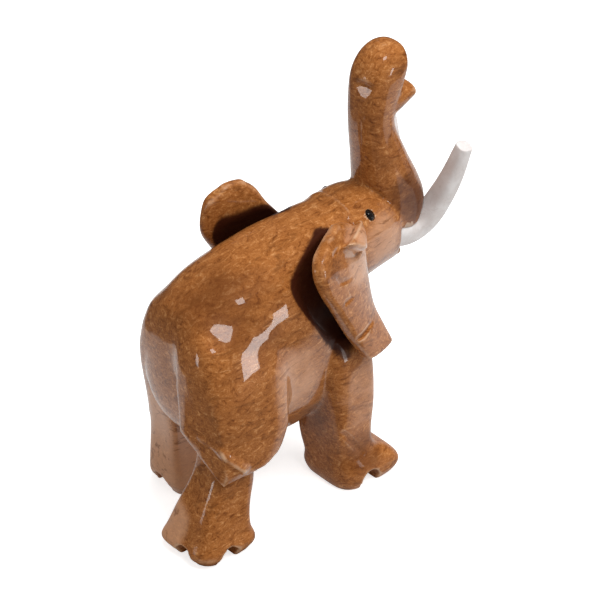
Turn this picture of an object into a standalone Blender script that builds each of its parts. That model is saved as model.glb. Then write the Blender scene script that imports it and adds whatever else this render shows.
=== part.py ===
"""Polished marble elephant with its trunk raised, its tusks and bead eyes set in sockets.

It looks along -Y, its left side is +X, and it stands on z = 0 with the middle of its box over the
origin. The carving is given in shares, near hundredths of the statue's height: forward from its
right hind foot, left of its middle plane, and up from the ground.
"""

import math

import bmesh
import bpy
import numpy as np
from mathutils import Matrix, Vector

# Driving dimensions in metres
STATUE_HEIGHT = 0.150
TUSK_LENGTH = 0.0495
TUSK_ROOT_WIDTH = 0.0096
TUSK_TIP_WIDTH = 0.0054
EYE_LENGTH = 0.0040
EYE_WIDTH = 0.0029
EYE_DEPTH = 0.0024
FIT_GAP = 0.0003

# Height of the trunk's top in shares
TOP_SHARE = 99.4
SHARE = STATUE_HEIGHT / TOP_SHARE

# Exponent of a circle, for sections and end domes; a higher one is squarer or blunter
ROUND = 2.0

# Fineness of the skins and of the carved block
RING_POINTS = 40
RINGS_BETWEEN = 5
TUSK_POINTS = 16
TUSK_RINGS_BETWEEN = 3
EYE_POINTS = 12
NOTCH_SIDES = 12
DOME_RINGS = 6
BLOCK_GRAIN = STATUE_HEIGHT / 130
BLOCK_TRIANGLES = 6500
POLISH_PASSES = 3
POLISH_FACTOR = 0.5

# Colour and roughness of each material
MARBLE = (0.330, 0.150, 0.055, 1.0), 0.16
WHITE_STONE = (0.860, 0.830, 0.780, 1.0), 0.22
BLACK_GLASS = (0.010, 0.009, 0.008, 1.0), 0.08


def place(forward, left, up):
    """A point given in shares, in metres."""
    return np.stack(np.broadcast_arrays(left, -np.asarray(forward), up), axis=-1) * SHARE


def unit(vectors):
    return vectors / np.linalg.norm(vectors, axis=-1, keepdims=True)


def through(stations, between=RINGS_BETWEEN):
    """The stations joined by a Catmull-Rom curve, with so many rows from each to the next."""
    rows = np.asarray(stations, float)
    rows = np.vstack([2 * rows[0] - rows[1], rows, 2 * rows[-1] - rows[-2]])
    t = (np.arange(between) / between)[:, None]
    spans = []
    for a, b, c, d in zip(rows, rows[1:], rows[2:], rows[3:]):
        bend = (2 * a - 5 * b + 4 * c - d) * t**2 + (3 * b - a - 3 * c + d) * t**3
        spans.append(0.5 * (2 * b + (c - a) * t + bend))
    return np.vstack(spans + [rows[-2:-1]])


def outline(squareness, points=RING_POINTS):
    """Points x, y of the curve |x|^n + |y|^n = 1: a circle at n = 2, nearly a square at n = 5."""
    angle = np.linspace(0, 2 * math.pi, points, endpoint=False)
    cos, sin = np.cos(angle), np.sin(angle)
    power = 2 / squareness
    return np.sign(cos) * np.abs(cos) ** power, np.sign(sin) * np.abs(sin) ** power


def rings_of(centres, sides, ups, squareness, points=RING_POINTS):
    """One ring round each centre, reaching side to either hand and up above and below."""
    x, y = outline(squareness, points)
    return centres[:, None] + x[None, :, None] * sides[:, None] + y[None, :, None] * ups[:, None]


def domed(rings, lengths, bluntness):
    """The rings with shrinking ones added past each end, so that the skin closes in a dome."""
    run = np.sin(0.5 * math.pi * np.arange(1, DOME_RINGS) / DOME_RINGS)
    shrink = (1 - run**bluntness) ** (1 / bluntness)
    middles = rings.mean(axis=1)
    ends = []
    for end, inner, length in ((0, 1, lengths[0]), (-1, -2, lengths[1])):
        outward = unit(middles[end] - middles[inner]) * length * SHARE
        rim = rings[end] - middles[end]
        cap = middles[end] + shrink[:, None, None] * rim + run[:, None, None] * outward
        ends.append((cap, middles[end] + outward))
    (start, first), (finish, last) = ends
    return np.concatenate([start[::-1], rings, finish]), first, last


def skin(name, rings, domes, bluntness=ROUND):
    """A closed mesh over the rings, which run from one end of the form to the other."""
    rings, first, last = domed(rings, domes, bluntness)
    width = rings.shape[1]
    form = bmesh.new()
    rows = [[form.verts.new(point) for point in ring] for ring in rings]
    poles = form.verts.new(first), form.verts.new(last)
    for lower, upper in zip(rows, rows[1:]):
        for k in range(width):
            n = (k + 1) % width
            form.faces.new((lower[k], lower[n], upper[n], upper[k]))
    for k in range(width):
        n = (k + 1) % width
        form.faces.new((rows[0][n], rows[0][k], poles[0]))
        form.faces.new((rows[-1][k], rows[-1][n], poles[1]))
    bmesh.ops.recalc_face_normals(form, faces=form.faces)
    return finished(name, form)


def finished(name, form):
    """The working mesh as an object."""
    mesh = bpy.data.meshes.new(name)
    form.to_mesh(mesh)
    form.free()
    return bpy.data.objects.new(name, mesh)


def lying(name, stations, squareness, domes, bluntness=ROUND):
    """A form along the middle plane with upright rings: forward, middle up, half height, half width."""
    forward, up, height, width = through(stations).T
    sides = np.outer(width, (SHARE, 0, 0))
    ups = np.outer(height, (0, 0, SHARE))
    return skin(name, rings_of(place(forward, 0, up), sides, ups, squareness), domes, bluntness)


def swept(name, stations, squareness, domes):
    """A form in the middle plane, its rings square to its run: forward, up, half depth, half width."""
    forward, up, depth, width = through(stations).T
    centres = place(forward, 0, up)
    across = np.cross(unit(np.gradient(centres, axis=0)), (1.0, 0, 0))
    sides = np.outer(width, (SHARE, 0, 0))
    return skin(name, rings_of(centres, sides, depth[:, None] * SHARE * across, squareness), domes)


def standing(name, stations, squareness, domes):
    """A limb with level rings: up, rear, front, inner and outer bounds."""
    up, rear, front, inner, outer = through(stations).T
    centres = place((rear + front) / 2, (inner + outer) / 2, up)
    sides = np.outer((outer - inner) / 2, (SHARE, 0, 0))
    ups = np.outer((front - rear) / 2, (0, -SHARE, 0))
    return skin(name, rings_of(centres, sides, ups, squareness), domes)


def slab(name, stations, side):
    """A leaf beside the head, set aslant and hollowed on its outer face."""
    up, front, front_left, rear, rear_left, thickness, hollow = through(stations).T
    front_edge = place(front, side * front_left, up)
    rear_edge = place(rear, side * rear_left, up)
    across = (front_edge - rear_edge) / 2
    outward = unit(np.cross(across, (0, 0, side)))
    half = outward * thickness[:, None] * SHARE
    rings = rings_of((front_edge + rear_edge) / 2, across, half, SLAB_SQUARENESS)
    bow = 1 - outline(SLAB_SQUARENESS)[0] ** 2
    rings -= bow[None, :, None] * (outward * hollow[:, None] * SHARE)[:, None]
    return skin(name, rings, SLAB_DOMES)


def trimmed(form, spot, facing):
    """Cuts away everything beyond a plane, given by a point of it and where it faces."""
    kept = bmesh.new()
    kept.from_mesh(form.data)
    beyond = Vector((facing[1], -facing[0], facing[2]))
    everything = kept.verts[:] + kept.edges[:] + kept.faces[:]
    point = Vector(place(*spot))
    bmesh.ops.bisect_plane(kept, geom=everything, plane_co=point, plane_no=beyond, clear_outer=True)
    bmesh.ops.holes_fill(kept, edges=[edge for edge in kept.edges if edge.is_boundary])
    bmesh.ops.recalc_face_normals(kept, faces=kept.faces)
    kept.to_mesh(form.data)
    kept.free()


def tusk(name, side, grown=0.0):
    """A squarish horn along its line, slimmer and flatter at the tip."""
    forward, left, up = through(TUSK_LINE, TUSK_RINGS_BETWEEN).T
    line = place(forward, side * left, up)
    steps = np.linalg.norm(np.diff(line, axis=0), axis=1)
    run = np.concatenate([[0], np.cumsum(steps)])
    line = line[0] + (line - line[0]) * TUSK_LENGTH / run[-1]
    share = run / run[-1]
    half = (TUSK_TIP_WIDTH + (TUSK_ROOT_WIDTH - TUSK_TIP_WIDTH) * (1 - share**TUSK_TAPER)) / 2 + grown
    tangent = unit(np.gradient(line, axis=0))
    sides = unit(np.cross(tangent, TUSK_FRONT))
    ups = np.cross(sides, tangent)
    rings = rings_of(line, sides * half[:, None], ups * half[:, None], TUSK_SQUARENESS, TUSK_POINTS)
    end = (TUSK_END + grown) / SHARE
    return skin(name, rings, (end, end))


def eye(name, side, grown=0.0):
    """A bead longer than wide, lying on the side of the head with its long way aslant."""
    bead = bmesh.new()
    bmesh.ops.create_uvsphere(bead, u_segments=EYE_POINTS, v_segments=EYE_POINTS // 2, radius=1)
    halves = (EYE_DEPTH / 2 + grown, EYE_WIDTH / 2 + grown, EYE_LENGTH / 2 + grown)
    forward, left, up = EYE_SPOT
    spot = Matrix.Translation(Vector(place(forward, side * left, up))) @ Matrix.Diagonal((side, 1, 1, 1))
    turn = Matrix.Rotation(-EYE_UPTURN, 4, "Y") @ Matrix.Rotation(-EYE_LEAN, 4, "X")
    bmesh.ops.transform(bead, matrix=spot @ turn @ Matrix.Diagonal((*halves, 1)), verts=bead.verts)
    bmesh.ops.recalc_face_normals(bead, faces=bead.faces)
    return finished(name, bead)


def notches(name):
    """Arched bars laid into the soles midway along the sides of each foot, so that its corners are toes."""
    bars = bmesh.new()
    for stations, with_rear in FEET:
        rear, front, inner, outer = through(stations)[RINGS_BETWEEN // 2][1:]
        middle, across = (rear + front) / 2, (inner + outer) / 2
        spots = [(middle, inner, "Y"), (middle, outer, "Y"), (front, across, "X")]
        if with_rear:
            spots.append((rear, across, "X"))
        for forward, left, axis in spots:
            spot = Matrix.Translation(Vector(place(forward, left, NOTCH_UP)))
            bmesh.ops.create_cone(
                bars,
                cap_ends=True,
                segments=NOTCH_SIDES,
                radius1=NOTCH_HALF * SHARE,
                radius2=NOTCH_HALF * SHARE,
                depth=2 * NOTCH_DEPTH * SHARE,
                matrix=spot @ Matrix.Rotation(math.pi / 2, 4, axis),
            )
    return finished(name, bars)


def box(name, low, high):
    """A plain block between two corners given in shares."""
    block = bmesh.new()
    bmesh.ops.create_cube(block, size=1)
    a, b = Vector(place(*low)), Vector(place(*high))
    stretch = Matrix.Diagonal((*(b - a), 1))
    bmesh.ops.transform(block, matrix=Matrix.Translation((a + b) / 2) @ stretch, verts=block.verts)
    bmesh.ops.recalc_face_normals(block, faces=block.faces)
    return finished(name, block)


def joined(name, forms):
    """All the forms as one object."""
    first = forms[0]
    with bpy.context.temp_override(active_object=first, object=first, selected_editable_objects=forms):
        bpy.ops.object.join()
    first.name = first.data.name = name
    return first


def cut(target, cutter):
    """Takes the cutter away from the target with a live Boolean."""
    cutter.hide_render = True
    cutter.display_type = "WIRE"
    opening = target.modifiers.new(cutter.name, "BOOLEAN")
    opening.operation = "DIFFERENCE"
    opening.solver = "EXACT"
    opening.object = cutter


def fused(target, name):
    """Makes one closed surface of all that the target holds, in even quads."""
    block = target.modifiers.new(name, "REMESH")
    block.mode = "VOXEL"
    block.voxel_size = BLOCK_GRAIN
    block.use_smooth_shade = True


def finish(name, colour, roughness):
    """A plain opaque material."""
    material = bpy.data.materials.new(name)
    material.use_nodes = True
    shader = material.node_tree.nodes["Principled BSDF"]
    shader.inputs["Base Color"].default_value = colour
    shader.inputs["Roughness"].default_value = roughness
    shader.inputs["Metallic"].default_value = 0.0
    return material


# The body's forms each have a squareness of section, and domes past their ends in shares
# Back and belly: forward, middle up, half height, half width
TORSO = (
    (5.2, 40.4, 16.8, 12.8),
    (12.0, 40.1, 20.7, 14.4),
    (22.0, 39.5, 23.3, 15.0),
    (32.0, 39.7, 24.1, 14.8),
    (41.0, 43.2, 21.4, 12.4),
    (46.0, 47.8, 16.8, 10.6),
)
TORSO_SQUARENESS = 2.6
TORSO_DOMES = (4.8, 6.0)
TORSO_BLUNTNESS = 2.6
HEAD = (
    (38.0, 52.8, 11.0, 10.0),
    (46.0, 54.0, 11.0, 9.9),
    (52.0, 54.8, 11.0, 9.7),
    (57.0, 54.6, 10.4, 9.0),
    (61.0, 53.4, 9.2, 8.0),
)
HEAD_SQUARENESS = 2.3
HEAD_DOMES = (6.0, 2.0)
HEAD_BLUNTNESS = 2.2
# From its root, up, and over to its end: forward, up, half depth, half width
TRUNK = (
    (63.3, 52.8, 7.6, 7.2),
    (64.2, 57.5, 8.4, 7.2),
    (63.4, 62.5, 7.6, 6.8),
    (61.4, 70.0, 6.0, 6.0),
    (59.1, 79.0, 4.7, 5.1),
    (59.1, 85.5, 4.9, 5.2),
    (60.6, 90.8, 6.3, 5.3),
    (62.6, 93.0, 6.5, 5.3),
    (64.4, 92.6, 5.0, 5.0),
)
TRUNK_SQUARENESS = 2.5
TRUNK_DOMES = (2.6, 1.4)
TRUNK_LIP = (
    (57.0, 84.0, 3.0, 4.4),
    (62.0, 85.2, 3.6, 4.8),
    (68.2, 86.2, 1.7, 4.4),
)
TRUNK_LIP_SQUARENESS = 2.6
TRUNK_LIP_DOMES = (1.0, 1.0)
# In the same terms as the head
JAW = (
    (50.0, 48.4, 4.6, 6.0),
    (57.0, 47.4, 2.9, 5.2),
    (62.0, 46.0, 1.7, 4.6),
    (65.2, 45.4, 1.3, 4.0),
)
JAW_SQUARENESS = 2.4
JAW_DOMES = (2.0, 0.8)
# Each leg from below its sole to the body: up, rear, front, inner, outer
LEG_HIND_RIGHT = (
    (-2.0, -4.6, 7.0, -5.4, -17.0),
    (0.6, -6.4, 8.4, -4.2, -18.6),
    (2.8, -7.8, 9.0, -3.3, -19.8),
    (6.0, -6.4, 8.2, -4.2, -18.8),
    (11.0, -4.4, 8.8, -5.4, -17.8),
    (17.0, -1.0, 10.6, -6.4, -16.8),
    (22.0, 1.0, 11.0, -6.4, -16.0),
    (30.0, 2.0, 11.0, -6.0, -15.4),
)
LEG_HIND_LEFT = (
    (-2.0, 7.6, 17.8, 6.0, 15.4),
    (0.6, 6.4, 18.8, 5.2, 16.4),
    (2.8, 5.2, 19.4, 4.4, 17.2),
    (6.0, 4.8, 18.4, 4.4, 16.6),
    (11.0, 5.0, 17.4, 5.2, 16.2),
    (18.0, 5.0, 16.8, 5.4, 15.8),
    (30.0, 3.4, 18.0, 5.0, 15.4),
)
LEG_FRONT_RIGHT = (
    (-2.0, 36.0, 49.4, -6.0, -17.8),
    (0.6, 34.6, 51.2, -4.6, -19.9),
    (2.8, 34.0, 52.0, -4.0, -20.6),
    (5.6, 34.0, 49.9, -4.4, -19.8),
    (8.6, 34.0, 45.8, -3.5, -18.4),
    (13.0, 33.8, 45.0, -2.8, -18.0),
    (22.0, 33.4, 46.0, -2.8, -17.8),
    (32.0, 32.6, 46.2, -3.0, -16.8),
    (40.0, 32.6, 46.0, -3.0, -14.0),
)
LEG_FRONT_LEFT = (
    (-2.0, 24.2, 34.6, 6.6, 17.2),
    (0.6, 23.2, 35.6, 5.6, 18.2),
    (2.8, 22.6, 36.2, 5.0, 18.8),
    (6.2, 22.8, 35.8, 4.6, 18.6),
    (9.0, 23.0, 33.0, 4.0, 17.8),
    (13.0, 23.6, 34.0, 3.6, 17.4),
    (22.0, 27.4, 39.0, 3.6, 17.0),
    (32.0, 30.8, 43.8, 3.4, 16.0),
    (40.0, 32.0, 46.0, 3.0, 14.0),
)
LEG_SQUARENESS = 4.0
LEG_DOMES = (0.2, 3.0)
THIGH_RIGHT = (
    (14.0, -2.0, 12.4, -6.4, -18.6),
    (18.5, -2.6, 14.8, -6.0, -18.8),
    (22.4, -2.7, 17.0, -5.4, -19.0),
    (28.2, -2.5, 19.8, -4.8, -18.8),
    (34.0, -2.0, 20.8, -4.0, -18.2),
    (40.0, -1.8, 20.8, -3.2, -17.3),
    (46.0, -1.6, 20.0, -2.4, -15.6),
    (52.0, 0.4, 19.0, -1.6, -13.2),
)
THIGH_LEFT = (
    (14.0, 5.6, 16.0, 6.0, 16.4),
    (18.5, 5.2, 17.0, 5.6, 16.8),
    (22.4, 4.8, 18.8, 5.2, 16.8),
    (28.2, 3.8, 20.2, 4.8, 16.6),
    (34.0, 2.6, 20.8, 4.0, 16.2),
    (40.0, 1.6, 21.0, 3.2, 15.4),
    (46.0, 1.0, 21.0, 2.4, 14.2),
    (52.0, 2.4, 21.0, 1.6, 12.8),
)
THIGH_SQUARENESS = 3.6
# Lower ends of the thighs: a point of each plane, and where it faces
HAUNCH_CUTS_RIGHT = (
    ((-2.3, -18.0, 18.1), (3.0, 9.0, -11.4)),
    ((-2.3, -18.0, 18.1), (1.6, 4.5, -12.9)),
)
HAUNCH_CUTS_LEFT = (
    ((5.6, 16.2, 18.1), (3.0, -9.0, -11.4)),
    ((5.6, 16.2, 18.1), (1.6, -4.5, -12.9)),
)
# Each ear from top to tip: up, front edge forward and left, rear edge forward and left, thickness, hollow
EAR_RIGHT = (
    (67.4, 39.0, 10.6, 32.4, 14.2, 1.2, 0.4),
    (65.4, 43.0, 9.0, 28.8, 15.8, 1.8, 0.9),
    (62.4, 46.0, 8.4, 26.8, 17.2, 2.0, 1.4),
    (58.6, 47.4, 9.0, 27.8, 17.6, 2.0, 1.8),
    (52.0, 47.0, 10.4, 31.4, 17.9, 2.0, 2.0),
    (45.0, 47.0, 12.2, 35.0, 18.3, 2.0, 1.8),
    (40.0, 48.2, 14.6, 37.6, 18.6, 1.9, 1.2),
    (35.6, 49.8, 16.6, 40.4, 18.8, 1.5, 0.6),
)
EAR_LEFT = (
    (68.0, 35.0, 15.0, 29.2, 16.4, 1.2, 0.4),
    (66.0, 37.2, 14.0, 25.8, 17.0, 1.8, 0.9),
    (62.4, 39.0, 12.4, 23.6, 17.4, 2.0, 1.4),
    (57.6, 42.4, 10.6, 23.4, 17.2, 2.0, 1.8),
    (51.0, 47.0, 10.4, 28.0, 17.6, 2.0, 2.0),
    (45.0, 47.0, 12.2, 33.4, 18.0, 2.0, 1.8),
    (40.0, 48.2, 14.6, 37.0, 18.4, 1.9, 1.2),
    (36.0, 49.2, 16.6, 40.4, 18.6, 1.5, 0.6),
)
# Hollow between each ear and the neck, in the same terms
NECK_HOLLOW = (
    (65.2, 38.6, 6.6, 33.2, 9.4, 1.0, 0.0),
    (62.4, 40.6, 7.8, 27.0, 12.0, 2.0, 0.0),
    (58.0, 42.0, 8.4, 24.8, 13.6, 2.2, 0.0),
    (52.0, 43.5, 8.8, 27.2, 14.4, 2.1, 0.0),
    (45.0, 44.5, 10.2, 31.4, 15.0, 1.8, 0.0),
    (40.0, 45.0, 12.6, 35.0, 15.4, 1.4, 0.0),
)
SLAB_SQUARENESS = 2.8
SLAB_DOMES = (0.8, 0.8)
# Mouth between the trunk's root and the lower lip: forward, up, half height, half width
MOUTH = (
    (60.8, 47.8, 0.5, 6.0),
    (63.4, 47.8, 1.0, 7.0),
    (67.0, 48.3, 1.9, 8.0),
)
# Groove across the trunk's end, in the same terms
TRUNK_GROOVE = (
    (64.8, 89.4, 0.5, 3.6),
    (68.0, 89.6, 1.4, 4.6),
    (71.0, 90.0, 2.4, 5.6),
)
GROOVE_DOMES = (0.6, 0.6)
# Left tusk from its root in the socket to its tip: forward, left, up
TUSK_LINE = (
    (61.0, 4.2, 52.6),
    (65.2, 4.4, 51.2),
    (68.8, 4.8, 51.4),
    (71.4, 6.0, 53.8),
    (73.2, 7.8, 58.4),
    (74.4, 10.2, 64.8),
    (75.4, 12.6, 73.0),
)
TUSK_TAPER = 1.6
TUSK_SQUARENESS = 2.8
TUSK_END = 0.0006
# Where the tusk's broad front looks, halfway up it
TUSK_FRONT = (0.0, 1.0, 0.6)
# Middle of the left eye, its lean within the cheek and how far it looks up
EYE_SPOT = (52.0, 7.1, 62.3)
EYE_LEAN = 0.27
EYE_UPTURN = 0.7
# Toe notches: height of their centres, half width and depth into the foot
NOTCH_UP = 1.2
NOTCH_HALF = 2.6
NOTCH_DEPTH = 3.6
FEET = (
    (LEG_HIND_RIGHT, True),
    (LEG_HIND_LEFT, True),
    (LEG_FRONT_RIGHT, False),
    (LEG_FRONT_LEFT, False),
)
RIGHT, LEFT = -1, 1
# Corners of the block that levels the soles
GROUND = (-30, 40, -12), (110, -40, 0)


for old in list(bpy.data.objects):
    bpy.data.objects.remove(old)

sculpture = bpy.data.collections.new("marble_elephant")
cutters = bpy.data.collections.new("cutters")
for collection in (sculpture, cutters):
    bpy.context.scene.collection.children.link(collection)

thighs = [
    standing("thigh_right", THIGH_RIGHT, THIGH_SQUARENESS, LEG_DOMES),
    standing("thigh_left", THIGH_LEFT, THIGH_SQUARENESS, LEG_DOMES),
]
for thigh, planes in zip(thighs, (HAUNCH_CUTS_RIGHT, HAUNCH_CUTS_LEFT)):
    for spot, facing in planes:
        trimmed(thigh, spot, facing)

forms = [
    lying("torso", TORSO, TORSO_SQUARENESS, TORSO_DOMES, TORSO_BLUNTNESS),
    lying("head", HEAD, HEAD_SQUARENESS, HEAD_DOMES, HEAD_BLUNTNESS),
    lying("jaw", JAW, JAW_SQUARENESS, JAW_DOMES),
    swept("trunk", TRUNK, TRUNK_SQUARENESS, TRUNK_DOMES),
    swept("trunk_lip", TRUNK_LIP, TRUNK_LIP_SQUARENESS, TRUNK_LIP_DOMES),
    standing("leg_hind_right", LEG_HIND_RIGHT, LEG_SQUARENESS, LEG_DOMES),
    standing("leg_hind_left", LEG_HIND_LEFT, LEG_SQUARENESS, LEG_DOMES),
    standing("leg_front_right", LEG_FRONT_RIGHT, LEG_SQUARENESS, LEG_DOMES),
    standing("leg_front_left", LEG_FRONT_LEFT, LEG_SQUARENESS, LEG_DOMES),
    slab("ear_right", EAR_RIGHT, RIGHT),
    slab("ear_left", EAR_LEFT, LEFT),
    *thighs,
]
for form in forms:
    sculpture.objects.link(form)
body = joined("elephant_body", forms)

ground = box("ground", *GROUND)
hollows = [
    slab("neck_hollow_right", NECK_HOLLOW, RIGHT),
    slab("neck_hollow_left", NECK_HOLLOW, LEFT),
    lying("mouth", MOUTH, ROUND, GROOVE_DOMES),
    lying("trunk_groove", TRUNK_GROOVE, ROUND, GROOVE_DOMES),
    notches("toe_notches"),
]
sockets = [
    tusk("socket_right", RIGHT, FIT_GAP),
    tusk("socket_left", LEFT, FIT_GAP),
    eye("eye_socket_right", RIGHT, FIT_GAP),
    eye("eye_socket_left", LEFT, FIT_GAP),
]
for form in [ground, *hollows, *sockets]:
    cutters.objects.link(form)
fused(body, "rough_block")
cut(body, joined("carved_hollows", hollows))
fused(body, "carved_block")
polish = body.modifiers.new("polish", "SMOOTH")
polish.factor = POLISH_FACTOR
polish.iterations = POLISH_PASSES
bpy.context.view_layer.update()
carved = body.evaluated_get(bpy.context.evaluated_depsgraph_get()).data
facets = body.modifiers.new("facets", "DECIMATE")
facets.ratio = BLOCK_TRIANGLES / sum(len(face.vertices) - 2 for face in carved.polygons)
cut(body, ground)
cut(body, joined("sockets", sockets))

fittings = [
    tusk("tusk_right", RIGHT),
    tusk("tusk_left", LEFT),
    eye("eye_right", RIGHT),
    eye("eye_left", LEFT),
]
for form in fittings:
    sculpture.objects.link(form)

marble = finish("brown_marble", *MARBLE)
white_stone = finish("white_stone", *WHITE_STONE)
black_glass = finish("black_glass", *BLACK_GLASS)
body.data.materials.append(marble)
for form in fittings[:2]:
    form.data.materials.append(white_stone)
for form in fittings[2:]:
    form.data.materials.append(black_glass)
for form in sculpture.objects:
    form.data.shade_smooth()

# The middle of the statue's box goes over the origin
bpy.context.view_layer.update()
seen = bpy.context.evaluated_depsgraph_get()
corners = [Vector(corner) for form in sculpture.objects for corner in form.evaluated_get(seen).bound_box]
middle_x = (min(c.x for c in corners) + max(c.x for c in corners)) / 2
middle_y = (min(c.y for c in corners) + max(c.y for c in corners)) / 2
for form in [*sculpture.objects, *cutters.objects]:
    form.location = (-middle_x, -middle_y, 0)
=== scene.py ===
import bpy
import numpy as np
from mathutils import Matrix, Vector


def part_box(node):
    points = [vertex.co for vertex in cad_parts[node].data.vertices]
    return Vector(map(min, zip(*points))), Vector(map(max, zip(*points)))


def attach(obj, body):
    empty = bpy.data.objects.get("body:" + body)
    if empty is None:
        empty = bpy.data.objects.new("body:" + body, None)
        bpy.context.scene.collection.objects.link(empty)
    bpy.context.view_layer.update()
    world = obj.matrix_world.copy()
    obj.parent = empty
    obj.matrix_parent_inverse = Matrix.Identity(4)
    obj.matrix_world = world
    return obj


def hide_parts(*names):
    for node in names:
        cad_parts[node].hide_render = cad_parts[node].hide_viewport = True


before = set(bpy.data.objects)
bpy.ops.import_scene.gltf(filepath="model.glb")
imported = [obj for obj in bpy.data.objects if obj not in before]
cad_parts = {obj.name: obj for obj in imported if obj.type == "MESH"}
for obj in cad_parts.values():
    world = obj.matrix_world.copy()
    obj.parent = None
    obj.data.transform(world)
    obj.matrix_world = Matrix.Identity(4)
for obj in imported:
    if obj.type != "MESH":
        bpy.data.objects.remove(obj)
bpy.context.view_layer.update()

# Back, belly and barrel of the elephant, the thickest part of the block of brown marble.
# The whole animal but its tusks and eyes is sawn and ground from that one block.
STATUE_HEIGHT = 0.150
TOP_SHARE = 99.4
SHARE = STATUE_HEIGHT / TOP_SHARE
SIDEWAYS = np.array((1.0, 0, 0))
# Sizes are in shares of the height from here on, and a spot is forward, left and up. The CAD's eyes tie
# the shares to its frame.
EYE_SPOT = (52.0, 7.1, 62.3)
eye_boxes = np.array([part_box("eye_right"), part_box("eye_left")])
MIDDLE = eye_boxes.mean(axis=(0, 1)) - np.array((0.0, -EYE_SPOT[0], EYE_SPOT[2])) * SHARE
TORSO = (
    (5.2, 40.4, 16.8, 12.8),
    (12.0, 40.1, 20.7, 14.4),
    (22.0, 39.5, 23.3, 15.0),
    (32.0, 39.7, 24.1, 14.8),
    (41.0, 43.2, 21.4, 12.4),
    (46.0, 47.8, 16.8, 10.6),
)


def place(forward, left, up):
    """Metres from shares of the height: x is left, y is forward turned round, z is up, from the
    right hind foot's mark."""
    return np.stack(np.broadcast_arrays(left, -np.asarray(forward), up), axis=-1) * SHARE + MIDDLE


def unit(vectors):
    """Each vector divided by its length."""
    return vectors / np.linalg.norm(vectors, axis=-1, keepdims=True)


def curve_through(stations, between=8):
    """Rows on the Catmull-Rom curve through the stations. From b to c, with a before and d after, it is
    half of 2b + (c - a)t + (2a - 5b + 4c - d)t² + (3b - a - 3c + d)t³."""
    rows = np.asarray(stations, float)
    rows = np.vstack([2 * rows[0] - rows[1], rows, 2 * rows[-1] - rows[-2]])
    a, b, c, d = (rows[k : k + len(rows) - 3, None] for k in range(4))
    t = (np.arange(between) / between)[None, :, None]
    spans = 2 * b + (c - a) * t + (2 * a - 5 * b + 4 * c - d) * t**2 + (3 * b - a - 3 * c + d) * t**3
    return np.vstack([spans.reshape(-1, rows.shape[1]) / 2, rows[-2:-1]])


def ring_shape(squareness, points):
    """x and y round the curve |x|^n + |y|^n = 1: each is the signed 2/n power of the angle's cosine
    or sine. The four quarters may each have their own n, from x to y on round."""
    angle = np.arange(points) / points * 2 * np.pi
    power = np.broadcast_to(squareness, 4)[np.minimum(angle // (np.pi / 2), 3).astype(int)]
    wave = np.stack([np.cos(angle), np.sin(angle)])
    return np.sign(wave) * np.abs(wave) ** (2 / power)


def rings_along(centres, sides, ups, squareness, points=160):
    """A grid of two parameters, run and angle: centre + side times x(angle) + up times y(angle)."""
    x, y = ring_shape(squareness, points)[:, None, :, None]
    return centres[:, None] + x * sides[:, None] + y * ups[:, None]


def shell(rings, domes, bluntness=2.0, steps=10):
    """The grid closed by a dome past each end. At share s of the way to the pole the ring has shrunk to
    (1 - s^m)^(1/m) of its size, m being the bluntness. Gives points and faces, facing outwards."""
    s = np.sin(np.pi / 2 * np.arange(1, steps) / steps)[:, None, None]
    parts = [None, rings, None]
    poles = []
    for end, inner, length, slot in ((0, 1, domes[0], 0), (-1, -2, domes[1], 2)):
        middle = rings[end].mean(axis=0)
        outward = unit(middle - rings[inner].mean(axis=0)) * length * SHARE
        cap = middle + (1 - s**bluntness) ** (1 / bluntness) * (rings[end] - middle) + s * outward
        parts[slot] = cap[::-1] if slot == 0 else cap
        poles.append(middle + outward)
    grid = np.concatenate(parts)
    rows, width = grid.shape[:2]
    number = np.arange(rows * width).reshape(rows, width)
    ahead = np.roll(number, -1, axis=1)
    quads = np.stack([number[:-1], ahead[:-1], ahead[1:], number[1:]], axis=-1).reshape(-1, 4)
    first, last = rows * width, rows * width + 1
    fans = np.concatenate([
        np.stack([ahead[0], number[0], np.full(width, first)], axis=-1),
        np.stack([number[-1], ahead[-1], np.full(width, last)], axis=-1),
    ])
    points = np.concatenate([grid.reshape(-1, 3), poles])
    corners = points[np.concatenate([quads[:, :3], quads[:, [0, 2, 3]], fans])] - points[0]
    if np.einsum("ij,ij->", corners[:, 0], np.cross(corners[:, 1], corners[:, 2])) < 0:
        quads, fans = quads[:, ::-1], fans[:, ::-1]
    return points, quads, fans


def lying(stations, squareness, domes, bluntness=2.0):
    """Upright rings along the middle plane: forward, middle up, half height, half width."""
    forward, up, height, width = curve_through(stations).T
    sides = np.outer(width, (SHARE, 0, 0))
    ups = np.outer(height, (0, 0, SHARE))
    return shell(rings_along(place(forward, 0, up), sides, ups, squareness), domes, bluntness)


def way(forward, left, up):
    """A direction of length 1 from its forward, left and up parts."""
    return unit(np.array((left, -forward, up), float))


def ground_off(form, planes, along=None):
    """The form with every point beyond a plane slid back onto it, square to the plane or in one
    direction: by how far it is beyond, divided by how squarely the plane faces that way."""
    points, quads, fans = form
    for spot, facing in planes:
        normal = way(*facing)
        slide = normal if along is None else along
        beyond = np.maximum((points - place(*spot)) @ normal, 0)
        points = points - np.outer(beyond / (normal @ slide), slide)
    return points, quads, fans


# Flats ground under the flanks: a spot on each, and the way that it faces.
BELLY_FLATS = (
    ((24.0, -14.3, 26.6), (0.0, -7.0, -4.4)),
    ((24.0, 14.3, 26.6), (0.0, 7.0, -4.4)),
)
torso = lying(TORSO, squareness=2.6, domes=(4.8, 6.0), bluntness=2.6)
torso = ground_off(torso, BELLY_FLATS, along=SIDEWAYS)

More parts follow.
